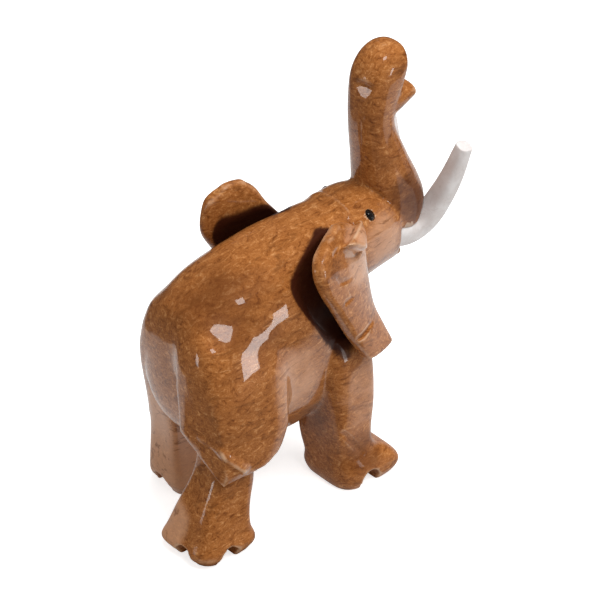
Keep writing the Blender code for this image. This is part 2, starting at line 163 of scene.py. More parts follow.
# Head and lower jaw, carved on from the neck in the same block. The cheeks are ground nearly flat,
# and the jaw is a thin lip that the mouth's cut leaves under the root of the trunk.
HEAD = (
    (38.0, 52.8, 11.0, 10.0),
    (46.0, 54.0, 11.0, 9.9),
    (52.0, 54.8, 11.0, 9.7),
    (57.0, 54.6, 10.4, 9.0),
    (61.0, 53.4, 9.2, 8.0),
)
JAW = (
    (50.0, 48.4, 4.6, 6.0),
    (57.0, 47.4, 2.9, 5.2),
    (62.0, 46.0, 1.7, 4.6),
    (65.2, 45.4, 1.3, 4.0),
)
head = lying(HEAD, squareness=2.3, domes=(6.0, 2.0), bluntness=2.2)
jaw = lying(JAW, squareness=2.4, domes=(2.0, 0.8))

# Trunk, raised straight up from the brow and curled over at its end, where a lip stands out below
# the nostrils. It is part of the block, and its sides are ground to long soft planes.
TRUNK = (
    (63.3, 52.8, 7.6, 7.2),
    (64.2, 57.5, 8.4, 7.2),
    (63.4, 62.5, 7.6, 6.8),
    (61.4, 70.0, 6.0, 6.0),
    (59.1, 79.0, 4.7, 5.1),
    (59.1, 85.5, 4.9, 5.2),
    (60.6, 90.8, 6.3, 5.3),
    (62.6, 93.0, 6.5, 5.3),
    (64.4, 92.6, 5.0, 5.0),
)
TRUNK_LIP = (
    (57.0, 84.0, 3.0, 4.4),
    (62.0, 85.2, 3.6, 4.8),
    (68.2, 86.2, 1.7, 4.4),
)


def swept(stations, squareness, domes):
    """Rings square to a path in the middle plane: forward, up, half depth, half width. The ring's upward
    arm is the path's direction crossed with the sideways one."""
    forward, up, depth, width = curve_through(stations).T
    centres = place(forward, 0, up)
    across = np.cross(unit(np.gradient(centres, axis=0)), SIDEWAYS)
    sides = np.outer(width, (SHARE, 0, 0))
    return shell(rings_along(centres, sides, depth[:, None] * SHARE * across, squareness), domes)


trunk = swept(TRUNK, squareness=2.5, domes=(2.6, 1.4))
trunk_lip = swept(TRUNK_LIP, squareness=2.6, domes=(1.0, 1.0))

# Four legs in a walking pose, square posts that widen to block feet. The feet are rough-hewn, and
# their corners are the toes. They are part of the block, and the statue stands on their soles.
LEGS = (
    (
        (-2.0, -4.6, 7.0, -5.4, -17.0),
        (0.6, -6.4, 8.4, -4.2, -18.6),
        (2.8, -7.8, 9.0, -3.3, -19.8),
        (6.0, -6.4, 8.2, -4.2, -18.8),
        (11.0, -4.4, 8.8, -5.4, -17.8),
        (17.0, -1.0, 10.6, -6.4, -16.8),
        (22.0, 1.0, 11.0, -6.4, -16.0),
        (30.0, 2.0, 11.0, -6.0, -15.4),
    ),
    (
        (-2.0, 7.6, 17.8, 6.0, 15.4),
        (0.6, 6.4, 18.8, 5.2, 16.4),
        (2.8, 5.2, 19.4, 4.4, 17.2),
        (6.0, 4.8, 18.4, 4.4, 16.6),
        (11.0, 5.0, 17.4, 5.2, 16.2),
        (18.0, 5.0, 16.8, 5.4, 15.8),
        (30.0, 3.4, 18.0, 5.0, 15.4),
    ),
    (
        (-2.0, 36.0, 49.4, -6.0, -17.8),
        (0.6, 34.6, 51.2, -4.6, -19.9),
        (2.8, 34.0, 52.0, -4.0, -20.6),
        (5.6, 34.0, 49.9, -4.4, -19.8),
        (8.6, 34.0, 45.8, -3.5, -18.4),
        (13.0, 33.8, 45.0, -2.8, -18.0),
        (22.0, 33.4, 46.0, -2.8, -17.8),
        (32.0, 32.6, 46.2, -3.0, -16.8),
        (40.0, 32.6, 46.0, -3.0, -14.0),
    ),
    (
        (-2.0, 24.2, 34.6, 6.6, 17.2),
        (0.6, 23.2, 35.6, 5.6, 18.2),
        (2.8, 22.6, 36.2, 5.0, 18.8),
        (6.2, 22.8, 35.8, 4.6, 18.6),
        (9.0, 23.0, 33.0, 4.0, 17.8),
        (13.0, 23.6, 34.0, 3.6, 17.4),
        (22.0, 27.4, 39.0, 3.6, 17.0),
        (32.0, 30.8, 43.8, 3.4, 16.0),
        (40.0, 32.0, 46.0, 3.0, 14.0),
    ),
)
LEG_CORNERS = (5.0, 5.0, 7.0, 3.4)


def standing(stations, squareness, domes=(0.2, 3.0)):
    """Level rings up a limb: up, rear, front, inner and outer bounds."""
    up, rear, front, inner, outer = curve_through(stations).T
    centres = place((rear + front) / 2, (inner + outer) / 2, up)
    sides = np.outer((outer - inner) / 2, (SHARE, 0, 0))
    ups = np.outer((front - rear) / 2, (0, -SHARE, 0))
    return shell(rings_along(centres, sides, ups, squareness), domes)


legs = [standing(stations, LEG_CORNERS) for stations in LEGS]

# Haunches, flat-sided pads that stand proud of the hind legs and end in a blunt V above the knee.
# Their arrises are left nearly sharp, and the polish catches on them.
THIGHS = (
    (
        (14.0, -2.0, 12.4, -6.4, -18.6),
        (18.5, -2.6, 14.8, -6.0, -18.8),
        (22.4, -2.7, 17.0, -5.4, -19.0),
        (28.2, -2.5, 19.8, -4.8, -18.8),
        (34.0, -2.0, 20.8, -4.0, -18.2),
        (40.0, -1.8, 20.8, -3.2, -17.3),
        (46.0, -1.6, 20.0, -2.4, -15.6),
        (52.0, 0.4, 19.0, -1.6, -13.2),
    ),
    (
        (14.0, 5.6, 16.0, 6.0, 16.4),
        (18.5, 5.2, 17.0, 5.6, 16.8),
        (22.4, 4.8, 18.8, 5.2, 16.8),
        (28.2, 3.8, 20.2, 4.8, 16.6),
        (34.0, 2.6, 20.8, 4.0, 16.2),
        (40.0, 1.6, 21.0, 3.2, 15.4),
        (46.0, 1.0, 21.0, 2.4, 14.2),
        (52.0, 2.4, 21.0, 1.6, 12.8),
    ),
)
# Planes that cut the V at each pad's lower end, then those of the right pad's arrises: a spot on each, and
# the way that it faces.
THIGH_ENDS = (
    (((-2.3, -18.0, 18.1), (3.0, 9.0, -11.4)), ((-2.3, -18.0, 18.1), (1.6, 4.5, -12.9))),
    (((5.6, 16.2, 18.1), (3.0, -9.0, -11.4)), ((5.6, 16.2, 18.1), (1.6, -4.5, -12.9))),
)
BEVELS = (
    ((-2.7, -5.0, 30.0), (-0.975, -0.22, 0.0)),
    ((-2.4, -10.0, 29.0), (-0.93, 0.15, -0.36)),
    ((5.6, -19.0, 22.4), (-0.12, -0.92, -0.38)),
)
HAUNCH_CORNERS = (5.0, 5.0, 9.0, 3.0)
RISING = np.array((0, 0, 1.0))
thighs = [
    ground_off(standing(stations, HAUNCH_CORNERS), planes, along=RISING)
    for stations, planes in zip(THIGHS, THIGH_ENDS)
]
thighs[0] = ground_off(thighs[0], BEVELS)

# Ears, thick leaves that stand out behind the cheeks, hollowed on their outer faces. A deep slot
# is cut behind each one, between it and the neck.
EARS = (
    (
        (67.4, 39.0, 10.6, 32.4, 14.2, 1.2, 0.4),
        (65.4, 43.0, 9.0, 28.8, 15.8, 1.8, 0.9),
        (62.4, 46.0, 8.4, 26.8, 17.2, 2.0, 1.4),
        (58.6, 47.4, 9.0, 27.8, 17.6, 2.0, 1.8),
        (52.0, 47.0, 10.4, 31.4, 17.9, 2.0, 2.0),
        (45.0, 47.0, 12.2, 35.0, 18.3, 2.0, 1.8),
        (40.0, 48.2, 14.6, 37.6, 18.6, 1.9, 1.2),
        (35.6, 49.8, 16.6, 40.4, 18.8, 1.5, 0.6),
    ),
    (
        (68.0, 35.0, 15.0, 29.2, 16.4, 1.2, 0.4),
        (66.0, 37.2, 14.0, 25.8, 17.0, 1.8, 0.9),
        (62.4, 39.0, 12.4, 23.6, 17.4, 2.0, 1.4),
        (57.6, 42.4, 10.6, 23.4, 17.2, 2.0, 1.8),
        (51.0, 47.0, 10.4, 28.0, 17.6, 2.0, 2.0),
        (45.0, 47.0, 12.2, 33.4, 18.0, 2.0, 1.8),
        (40.0, 48.2, 14.6, 37.0, 18.4, 1.9, 1.2),
        (36.0, 49.2, 16.6, 40.4, 18.6, 1.5, 0.6),
    ),
)
EAR_SLOT = (
    (65.2, 38.6, 6.6, 33.2, 9.4, 1.0, 0.0),
    (62.4, 40.6, 7.8, 27.0, 12.0, 2.0, 0.0),
    (58.0, 42.0, 8.4, 24.8, 13.6, 2.2, 0.0),
    (52.0, 43.5, 8.8, 27.2, 14.4, 2.1, 0.0),
    (45.0, 44.5, 10.2, 31.4, 15.0, 1.8, 0.0),
    (40.0, 45.0, 12.6, 35.0, 15.4, 1.4, 0.0),
)
EAR_CORNERS = 4.6
SLOT_CORNERS = 2.8
LEAF_POINTS = 120
HOLLOW_LEFT = 0.5
SIDES = (-1, 1)
EAR_FLAP = (
    (49.4, -7.6, 62.2, 48.4, -7.8, 63.0, 0.3),
    (46.4, -11.2, 61.6, 42.6, -11.8, 64.8, 1.4),
    (43.6, -14.4, 60.6, 37.2, -15.6, 65.2, 1.9),
)


def slab(stations, side, squareness=EAR_CORNERS):
    """A leaf beside the head: up, front edge forward and left, rear edge forward and left, half
    thickness, and the depth of its hollow, which falls off towards both edges as 1 - x²."""
    up, front, front_left, rear, rear_left, thickness, hollow = curve_through(stations).T
    front_edge = place(front, side * front_left, up)
    rear_edge = place(rear, side * rear_left, up)
    across = (front_edge - rear_edge) / 2
    outward = unit(np.cross(across, (0, 0, side)))
    ups = outward * thickness[:, None] * SHARE
    rings = rings_along((front_edge + rear_edge) / 2, across, ups, squareness, LEAF_POINTS)
    bow = 1 - ring_shape(squareness, LEAF_POINTS)[0] ** 2
    rings = rings - bow[None, :, None] * (outward * hollow[:, None] * HOLLOW_LEFT * SHARE)[:, None]
    return shell(rings, domes=(0.8, 0.8))


def flap_form(stations):
    """A three-cornered tongue: two edges as forward, left, up, and half the thickness."""
    rows = curve_through(stations)
    front, rear = place(*rows[:, :3].T), place(*rows[:, 3:6].T)
    across = (front - rear) / 2
    along = np.gradient(front + rear, axis=0)
    outward = unit(np.cross(across, along)) * rows[:, 6:] * SHARE
    rings = rings_along((front + rear) / 2, across, outward, squareness=3.0, points=64)
    return shell(rings, domes=(0.3, 0.8))


ears = [slab(stations, side) for stations, side in zip(EARS, SIDES)]
ears.append(flap_form(EAR_FLAP))
ear_slots = [slab(EAR_SLOT, side, SLOT_CORNERS) for side in SIDES]

# Mouth, nostril groove and toe notches, all ground into the block with a small wheel. The notches
# are arched cuts midway along the sides of each foot.
MOUTH = (
    (60.8, 47.8, 0.5, 6.0),
    (63.4, 47.8, 1.0, 7.0),
    (67.0, 48.3, 1.9, 8.0),
)
TRUNK_GROOVE = (
    (64.8, 89.4, 0.5, 3.6),
    (68.0, 89.6, 1.4, 4.6),
    (71.0, 90.0, 2.4, 5.6),
)
NOTCH_UP = 1.3
NOTCH_HALF = 2.7
NOTCH_DEPTH = 3.8
HIND_FEET = 2
EDGE_ROW = 4
REAR_PART, FRONT_PART = 0.58, 0.42
OUTER_PART, INNER_PART = 0.56, 0.44
LENGTHWAYS = np.array((0, 1.0, 0))


def rod(forward, left, on_a_side):
    """A level bar across a foot's edge: a circle carried along a straight line."""
    run = np.linspace(-NOTCH_DEPTH, NOTCH_DEPTH, 12)
    along, side = (SIDEWAYS, LENGTHWAYS) if on_a_side else (LENGTHWAYS, SIDEWAYS)
    centres = place(forward, left, NOTCH_UP) + np.outer(run * SHARE, along)
    reach = np.full(len(run), NOTCH_HALF * SHARE)
    sides, ups = np.outer(reach, side), np.outer(reach, RISING)
    return shell(rings_along(centres, sides, ups, squareness=2.0, points=24), domes=(0.05, 0.05))


notches = []
for number, stations in enumerate(LEGS):
    rear, front, inner, outer = curve_through(stations)[EDGE_ROW][1:]
    middle = REAR_PART * rear + FRONT_PART * front
    across = OUTER_PART * outer + INNER_PART * inner
    notches += [rod(middle, inner, True), rod(middle, outer, True), rod(front, across, False)]
    if number < HIND_FEET:
        notches.append(rod(rear, across, False))
cuts = [lying(stations, squareness=2.0, domes=(0.6, 0.6)) for stations in (MOUTH, TRUNK_GROOVE)]
cuts += ear_slots + notches

# Tusks, bars of white stone ground to a blunt taper, squarish in section and pinned by glue in
# round-cornered sockets beside the mouth. They rise outwards, and show a hair of glue line.
TUSK_LENGTH = 0.0495
TUSK_ROOT = 0.0096
TUSK_TIP = 0.0054
TUSK_LINE = (
    (61.0, 4.2, 52.6),
    (65.2, 4.4, 51.2),
    (68.8, 4.8, 51.4),
    (71.4, 6.0, 53.8),
    (73.2, 7.8, 58.4),
    (74.4, 10.2, 64.8),
    (75.4, 12.6, 73.0),
)
TUSK_TAPER = 1.6
TUSK_FRONT = (0, 1.0, 0.6)
TUSK_END = 0.0006
GLUE_GAP = 0.0003


def tusk_form(side, grown=0.0):
    """A squarish ring carried along the tusk's line. Its half width goes from the root's to the tip's
    as the taper's power of the share of the run."""
    forward, left, up = curve_through(TUSK_LINE, between=12).T
    line = place(forward, side * left, up)
    run = np.concatenate([[0], np.cumsum(np.linalg.norm(np.diff(line, axis=0), axis=1))])
    share = run / run[-1]
    line = line[0] + (line - line[0]) * TUSK_LENGTH / run[-1]
    half = (TUSK_TIP + (TUSK_ROOT - TUSK_TIP) * (1 - share**TUSK_TAPER)) / 2 + grown
    tangent = unit(np.gradient(line, axis=0))
    sides = unit(np.cross(tangent, TUSK_FRONT))
    ups = np.cross(sides, tangent)
    end = (TUSK_END + grown) / SHARE
    rings = rings_along(line, sides * half[:, None], ups * half[:, None], squareness=2.8, points=64)
    return shell(rings, domes=(end, end))


def mesh_of(name, forms):
    """All the forms' points and faces in one mesh object at the origin."""
    points, faces, start = [], [], 0
    for form_points, quads, fans in forms:
        points.append(form_points)
        faces += (quads + start).tolist() + (fans + start).tolist()
        start += len(form_points)
    mesh = bpy.data.meshes.new(name)
    mesh.from_pydata(np.concatenate(points).tolist(), [], faces)
    mesh.shade_smooth()
    piece = bpy.data.objects.new(name, mesh)
    bpy.context.scene.collection.objects.link(piece)
    return piece


tusks = [mesh_of("white_tusk_" + word, [tusk_form(side)]) for word, side in zip(("right", "left"), SIDES)]


def points_of(mesh):
    """Every point of the mesh, one row each."""
    points = np.empty(len(mesh.vertices) * 3)
    mesh.vertices.foreach_get("co", points)
    return points.reshape(-1, 3)


def held_in(mesh, node):
    """The mesh's points, each brought back to the node's box where it lay outside."""
    low, high = np.array(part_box(node))
    points = np.clip(points_of(mesh), low, high)
    mesh.vertices.foreach_set("co", points.ravel())
    return points


def add(tree, kind, **values):
    """A node with its settings and its sockets' plain values."""
    node = tree.nodes.new(kind)
    for key, value in values.items():
        if hasattr(node, key):
            setattr(node, key, value)
        else:
            node.inputs[key.replace("_", " ")].default_value = value
    return node


# Fine grain, which every finish here has at its own size: cloudy noise, and the slight relief that the
# same noise leaves in the polish, laid over the larger waves of the surface.
fine_grain = bpy.data.node_groups.new("fine_grain", "ShaderNodeTree")
for side, kind, sockets in (
    ("INPUT", "NodeSocketVector", ("Vector", "Normal")),
    ("INPUT", "NodeSocketFloat", ("Scale", "Detail", "Roughness", "Distortion", "Strength", "Distance")),
    ("OUTPUT", "NodeSocketFloat", ("Grain",)),
    ("OUTPUT", "NodeSocketVector", ("Relief",)),
):
    for socket in sockets:
        fine_grain.interface.new_socket(name=socket, in_out=side, socket_type=kind)
given, given_out = add(fine_grain, "NodeGroupInput"), add(fine_grain, "NodeGroupOutput")
noise, relief = add(fine_grain, "ShaderNodeTexNoise"), add(fine_grain, "ShaderNodeBump")
for socket in ("Vector", "Scale", "Detail", "Roughness", "Distortion"):
    fine_grain.links.new(given.outputs[socket], noise.inputs[socket])
for socket in ("Strength", "Distance", "Normal"):
    fine_grain.links.new(given.outputs[socket], relief.inputs[socket])
fine_grain.links.new(noise.outputs["Fac"], relief.inputs["Height"])
fine_grain.links.new(noise.outputs["Fac"], given_out.inputs["Grain"])
fine_grain.links.new(relief.outputs["Normal"], given_out.inputs["Relief"])
MILLIMETRE = 0.001


def fine_grained(tree, vector, normal, size, **values):
    """The fine grain placed in a material: the noise, and the normal that it leaves."""
    node = add(tree, "ShaderNodeGroup", node_tree=fine_grain, Scale=1 / (size * MILLIMETRE), **values)
    tree.links.new(vector, node.inputs["Vector"])
    tree.links.new(normal, node.inputs["Normal"])
    return node.outputs["Grain"], node.outputs["Relief"]


def material_of(name):
    """A material with its node tree, its shader, the place on the piece in metres, and the way that the
    surface faces."""
    material = bpy.data.materials.new(name)
    material.use_nodes = True
    tree = material.node_tree
    spot = add(tree, "ShaderNodeTexCoord").outputs["Object"]
    facing = add(tree, "ShaderNodeNewGeometry").outputs["Normal"]
    return material, tree, tree.nodes["Principled BSDF"], spot, facing


def graded(tree, source, stops):
    """A colour ramp over a value: pairs of position and colour."""
    node = tree.nodes.new("ShaderNodeValToRGB")
    while len(node.color_ramp.elements) < len(stops):
        node.color_ramp.elements.new(0.5)
    for element, (position, colour) in zip(node.color_ramp.elements, stops):
        element.position = position
        element.color = (*colour, 1)
    tree.links.new(source, node.inputs["Fac"])
    return node.outputs["Color"]


def spread(tree, source, span, result=(0.0, 1.0)):
    """A value's span made the span of the result, held at both ends, by 3t² - 2t³ between them."""
    node = add(tree, "ShaderNodeMapRange", interpolation_type="SMOOTHSTEP")
    for name, value in zip(("From Min", "From Max", "To Min", "To Max"), (*span, *result)):
        node.inputs[name].default_value = value
    tree.links.new(source, node.inputs["Value"])
    return node.outputs["Result"]


def blended(tree, factor, a, b, mode="MIX", kind="RGBA"):
    """Two colours, or two numbers, mixed by a mask or by a plain number."""
    node = add(tree, "ShaderNodeMix", data_type=kind, blend_type=mode)
    for name, value in (("Factor", factor), ("A", a), ("B", b)):
        if isinstance(value, float):
            node.inputs[name].default_value = value
        elif isinstance(value, tuple):
            node.inputs[name].default_value = (*value, 1)
        else:
            tree.links.new(value, node.inputs[name])
    return node.outputs["Result"]


def grain(tree, vector, size, detail, roughness, distortion=0.0):
    """Cloudy noise whose clouds are about so many millimetres across."""
    node = add(tree, "ShaderNodeTexNoise", Scale=1 / (size * MILLIMETRE), Detail=detail, Roughness=roughness,
               Distortion=distortion)
    tree.links.new(vector, node.inputs["Vector"])
    return node.outputs["Fac"]


TUSK_THREAD = (0.500, 0.420, 0.380)
TUSK_CRYSTAL = (0.800, 0.780, 0.770)
stone, tree, shader, spot, facing = material_of("white_tusk_stone")
clouds = grain(tree, spot, size=6.0, detail=3.0, roughness=0.55, distortion=0.6)
threads = grain(tree, spot, size=3.2, detail=5.0, roughness=0.62, distortion=2.2)
crystals, relief = fine_grained(
    tree, spot, facing, size=0.5, Detail=2.0, Roughness=0.6, Strength=0.15, Distance=0.0001
)
colour = graded(tree, clouds, (
    (0.34, (0.660, 0.600, 0.575)),
    (0.50, (0.720, 0.670, 0.650)),
    (0.66, (0.790, 0.750, 0.735)),
))
colour = blended(tree, spread(tree, threads, (0.57, 0.66), (0.0, 0.25)), colour, TUSK_THREAD)
colour = blended(tree, spread(tree, crystals, (0.30, 0.70), (0.0, 0.12)), colour, TUSK_CRYSTAL)
tree.links.new(colour, shader.inputs["Base Color"])
tree.links.new(spread(tree, clouds, (0.30, 0.70), (0.30, 0.18)), shader.inputs["Roughness"])
shader.inputs["Specular IOR Level"].default_value = 0.35
tree.links.new(relief, shader.inputs["Normal"])
for tusk, node in zip(tusks, ("tusk_right", "tusk_left")):
    held_in(tusk.data, node)
    tusk.data.materials.append(stone)
    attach(tusk, "root")
    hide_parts(node)

# Eyes, glossy black glass beads a little longer than wide, sunk in drilled sockets and glued.
# Each lies aslant and looks a little up.
EYE_HALVES = (0.0012, 0.00145, 0.0020)
EYE_LEAN = 0.27
EYE_UPTURN = 0.7
EYE_POLE = 0.06
EYE_CAP = 0.0018


def eye_form(side, grown=0.0):
    """An ellipsoid: a circle of radius sin u carried up its long axis by cos u, closed by a small cap at
    each pole, then leant and turned up."""
    u = np.linspace(EYE_POLE, np.pi - EYE_POLE, 40)
    centres = np.stack([0 * u, 0 * u, np.cos(u)], axis=-1)
    sides, ups = np.outer(np.sin(u), SIDEWAYS), np.outer(np.sin(u), LENGTHWAYS)
    rings = rings_along(centres, sides, ups, squareness=2.0, points=48)
    points, quads, fans = shell(rings, domes=(EYE_CAP / SHARE, EYE_CAP / SHARE))
    points = points * (np.array(EYE_HALVES) + grown)
    lean, turn = -EYE_LEAN, -EYE_UPTURN
    tilt = np.array(((1, 0, 0), (0, np.cos(lean), -np.sin(lean)), (0, np.sin(lean), np.cos(lean))))
    look = np.array(((np.cos(turn), 0, np.sin(turn)), (0, 1, 0), (-np.sin(turn), 0, np.cos(turn))))
    points = points @ (look @ tilt).T * (side, 1, 1) + place(EYE_SPOT[0], side * EYE_SPOT[1], EYE_SPOT[2])
    if side < 0:
        quads, fans = quads[:, ::-1], fans[:, ::-1]
    return points, quads, fans


eyes = [mesh_of("bead_eye_" + word, [eye_form(side)]) for word, side in zip(("right", "left"), SIDES)]
glass, tree, shader, spot, facing = material_of("black_bead_glass")
swirls, relief = fine_grained(
    tree, spot, facing, size=1.1, Detail=2.0, Roughness=0.5, Distortion=1.0, Strength=0.2, Distance=0.00005
)
colour = graded(tree, swirls, ((0.35, (0.004, 0.004, 0.004)), (0.70, (0.022, 0.018, 0.016))))
tree.links.new(colour, shader.inputs["Base Color"])
tree.links.new(spread(tree, swirls, (0.30, 0.70), (0.04, 0.14)), shader.inputs["Roughness"])
tree.links.new(relief, shader.inputs["Normal"])
for eye, node in zip(eyes, ("eye_right", "eye_left")):
    eye.data.materials.append(glass)
    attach(eye, "root")
    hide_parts(node)

# The block itself: the forms above run into one another as they do when they are ground from one
# stone, then the hollows and sockets are cut and the soles are levelled.
GRINDING_STEP = 0.00052
BLOCK_TRIANGLES = 180000
GROUND_DEPTH = 0.012
GROUND_HALF = 0.1


def evaluated(piece, name):
    """A plain mesh of what the piece's modifiers make of it."""
    seen = piece.evaluated_get(bpy.context.evaluated_depsgraph_get())
    mesh = bpy.data.meshes.new_from_object(seen)
    mesh.name = name
    return mesh


block = mesh_of("carved_elephant", [torso, head, jaw, trunk, trunk_lip, *legs, *thighs, *ears])
hollow_cutter = mesh_of("hollow_cutter", cuts)
sockets = [form(side, GLUE_GAP) for form in (tusk_form, eye_form) for side in SIDES]
socket_cutter = mesh_of("socket_cutter", sockets)
ground = (-GROUND_HALF, GROUND_HALF)
level_points = np.array([(x, y, z) for x in ground for y in ground for z in (-GROUND_DEPTH, 0)])
level_faces = np.array([[0, 1, 3, 2], [4, 6, 7, 5], [0, 4, 5, 1], [2, 3, 7, 6], [0, 2, 6, 4], [1, 5, 7, 3]])
level_cutter = mesh_of("level_cutter", [(level_points, level_faces, level_faces[:0])])


def fuse(piece, name):
    """One closed surface of even quads over all that the piece holds."""
    step = piece.modifiers.new(name, "REMESH")
    step.mode = "VOXEL"
    step.voxel_size = GRINDING_STEP
    step.use_smooth_shade = True


def take_away(piece, cutter):
    """The piece less the cutter."""
    step = piece.modifiers.new(cutter.name, "BOOLEAN")
    step.operation = "DIFFERENCE"
    step.solver = "EXACT"
    step.object = cutter


def shares_of(points):
    """Forward, left and up in shares: the inverse of place."""
    x, y, z = ((points - MIDDLE) / SHARE).T
    return -y, x, z


def ramp(value, start, end):
    """0 at start, 1 at end, and 3t² - 2t³ between them."""
    t = np.clip((value - start) / (end - start), 0, 1)
    return t * t * (3 - 2 * t)


def eased(points, edges, weight, rounds):
    """Each round moves every point by its weight of the way to the mean of its neighbours."""
    a, b = edges.T
    both, other = np.concatenate([a, b]), np.concatenate([b, a])
    count = np.bincount(both, minlength=len(points))[:, None]
    for _ in range(rounds):
        sums = np.stack([np.bincount(both, points[other, k], len(points)) for k in range(3)], axis=-1)
        points = points + weight[:, None] * (sums / count - points)
    return points


# Flats ground on the fused block: a spot on the plane, the way that it faces, the middle of the part
# that is ground, and how far the grinding reaches. It is full up to the core's share of that reach.
FLATS = (
    ((6.6, -10.2, 53.7), (-0.310, -0.608, 0.731), (7.2, -10.0, 54.4), 5.4),
    ((54.72, -1.80, 89.4), (-0.924, -0.248, 0.292), (54.6, -1.8, 88.4), 4.6),
)
FLAT_CORE = 0.8
# Wheel cuts: the line's points, half the width, the depth, and the way that the wheel goes in. A depth
# below 0 leaves a ridge.
CUTS = (
    (((32.8, -18.6, 60.0), (34.8, -18.2, 58.0), (39.0, -17.2, 57.2), (44.6, -15.2, 57.8)), 0.9, 0.85,
     (-0.25, 0.8, -0.3)),
    (((34.6, -19.2, 53.2), (38.0, -18.5, 53.2), (43.6, -16.4, 54.0)), 0.8, 0.7, (-0.25, 0.8, -0.2)),
    (((37.4, -20.2, 42.6), (41.0, -19.4, 43.2), (46.8, -17.4, 44.4)), 0.9, 0.9, (-0.25, 0.8, -0.2)),
    (((-2.4, -11.8, 30.6), (-1.4, -15.6, 29.8), (0.8, -18.6, 27.6), (5.0, -19.2, 23.2)), 1.6, -1.15,
     (0.7, 0.7, 0.0)),
    (((-2.4, -10.0, 29.6), (-2.2, -13.0, 27.7), (-1.6, -16.0, 25.4), (-0.6, -17.8, 22.6)), 0.8, -0.4,
     (0.8, 0.4, 0.0)),
    (((47.4, -8.4, 63.6), (42.0, -12.6, 65.2), (37.0, -15.2, 65.6), (33.4, -16.6, 65.2)), 0.9, 1.1,
     (0.3, 0.5, -0.8)),
    (((44.4, -13.6, 60.0), (41.6, -15.0, 60.2), (38.0, -16.2, 62.4)), 1.1, 1.5, (-0.25, 0.8, -0.5)),
    (((56.2, -2.0, 66.2), (57.0, -3.6, 65.4), (57.6, -5.4, 64.0)), 0.9, 0.5, (0.6, 0.4, -0.6)),
    (((33.0, -17.9, 17.5), (35.8, -17.7, 15.4), (40.2, -18.7, 8.8)), 1.0, 0.5, (0.2, 0.9, 0.0)),
)


def edges_of(mesh):
    """The two points of every edge, one row each."""
    edges = np.empty(len(mesh.edges) * 2, int)
    mesh.edges.foreach_get("vertices", edges)
    return edges.reshape(-1, 2)


def keep_mark(mesh, name, values):
    """A number for every point of the mesh, which the marble reads by its name."""
    mesh.attributes.new(name, "FLOAT", "POINT").data.foreach_set("value", values.astype(np.float32))


def pressed(points, spot, facing, middle, reach):
    """Points beyond the plane go back onto it, and ever less so in the last fifth of the reach."""
    normal = way(*facing)
    beyond = np.maximum((points - place(*spot)) @ normal, 0)
    far = np.linalg.norm(points - place(*middle), axis=1) / SHARE
    return points - np.outer(beyond * (1 - ramp(far, FLAT_CORE * reach, reach)), normal)


def distance_to(points, spots):
    """How far each point is from the nearest of the spots, in shares."""
    return np.sqrt(np.min([((points - spot) ** 2).sum(axis=1) for spot in spots], axis=0)) / SHARE


def scored(points, line, width, depth, inward):
    """A V-shaped groove: the depth falls off evenly with the distance from the line."""
    spots = place(*curve_through(line, between=16).T)
    fall = np.maximum(1 - distance_to(points, spots) / width, 0)
    return points + np.outer(fall * depth * SHARE, way(*inward))


# Parts of the block painted paler or darker: the middle, the reach, and the strength, which is below 0 where
# it is darker. Most of them paint light as well as tone: paler is painted reflection of the pale floor on the
# ears, cheek, belly and legs, darker is painted shade on the rump top, flank, trunk and front leg. A few,
# such as the ring round the eye, are the stone's own tone.
TONE_AND_PAINTED_LIGHT_ZONES = (
    ((7.0, 0.0, 58.6), 16.0, -0.45),
    ((14.0, -9.0, 57.0), 16.0, -0.6),
    ((64.0, -6.7, 62.0), 8.0, -0.8),
    ((67.0, -7.0, 58.0), 6.0, -0.7),
    ((57.0, -4.0, 80.0), 20.0, -0.35),
    ((34.0, -10.0, 20.0), 12.0, -0.5),
    ((41.0, -18.0, 9.0), 9.0, -0.7),
    ((10.0, -19.0, 38.0), 20.0, -0.35),
    ((43.0, -14.0, 60.0), 9.0, 1.6),
    ((40.0, -17.0, 54.0), 10.0, 0.25),
    ((55.0, -9.0, 56.0), 9.0, 1.2),
    ((4.0, 12.0, 14.0), 20.0, 2.2),
    ((-5.0, -5.0, 6.0), 9.0, 2.2),
    ((22.0, -15.0, 36.0), 12.0, 1.2),
    ((42.0, -18.0, 24.0), 12.0, 0.8),
    ((50.5, -9.5, 66.5), 3.2, 0.9),
    ((34.5, -18.5, 62.0), 7.0, -0.5),
)
# Where the surface is eased: over the haunches' tops and down the thighs' fronts. Each pair is a span of
# height, or of forward, over which the easing comes in or goes out.
GROUND_EASING = 0.5
FORM_EASING = 0.6
FORM_ROUNDS = 120
TOPS_FROM, TOPS_TO, BACK_EDGE = (40, 45), (24, 30), (62, 66)
FRONTS_FROM, FRONTS_TO, KNEE_EDGE = (13, 16), (24, 28), (28, 33)
# Painted shade in dark places: the ear slots, from edge to edge, then the tusk's root and the ears' lower
# ends, as the spots, the reach and the strength.
SLOT_REACH = (2.2, 2.9)
WAYS_IN = np.linspace(0.12, 0.93, 14)
PAINTED_SHADE_SPOTS = (
    (((64.5, -5.6, 64.0), (66.5, -5.6, 60.5), (68.5, -5.6, 57.0)), (2.0, 6.5), 0.45),
    (((37.8, -15.5, 36.6), (36.5, -14.0, 37.6), (36.5, 14.0, 37.6), (37.8, 15.5, 36.6)), (1.2, 2.6), 0.75),
)
ZONE_CORE = 0.4
fuse(block, "one_stone")
take_away(block, hollow_cutter)
fuse(block, "hollowed_stone")
rough = evaluated(block, "rough_elephant")
block.modifiers.clear()
block.data = rough
points, edges = points_of(rough), edges_of(rough)
halfway = np.full(len(points), GROUND_EASING)
for flat in FLATS:
    points = pressed(points, *flat)
points = eased(points, edges, halfway, rounds=3)
for cut in CUTS:
    points = scored(points, *cut)
points = eased(points, edges, halfway, rounds=1)
forward, _, up = shares_of(points)
below_back = 1 - ramp(up, *BACK_EDGE)
haunch_tops = ramp(up, *TOPS_FROM) * (1 - ramp(forward, *TOPS_TO)) * below_back
thigh_fronts = ramp(forward, *FRONTS_FROM) * (1 - ramp(forward, *FRONTS_TO))
thigh_fronts = thigh_fronts * ramp(up, *KNEE_EDGE) * below_back
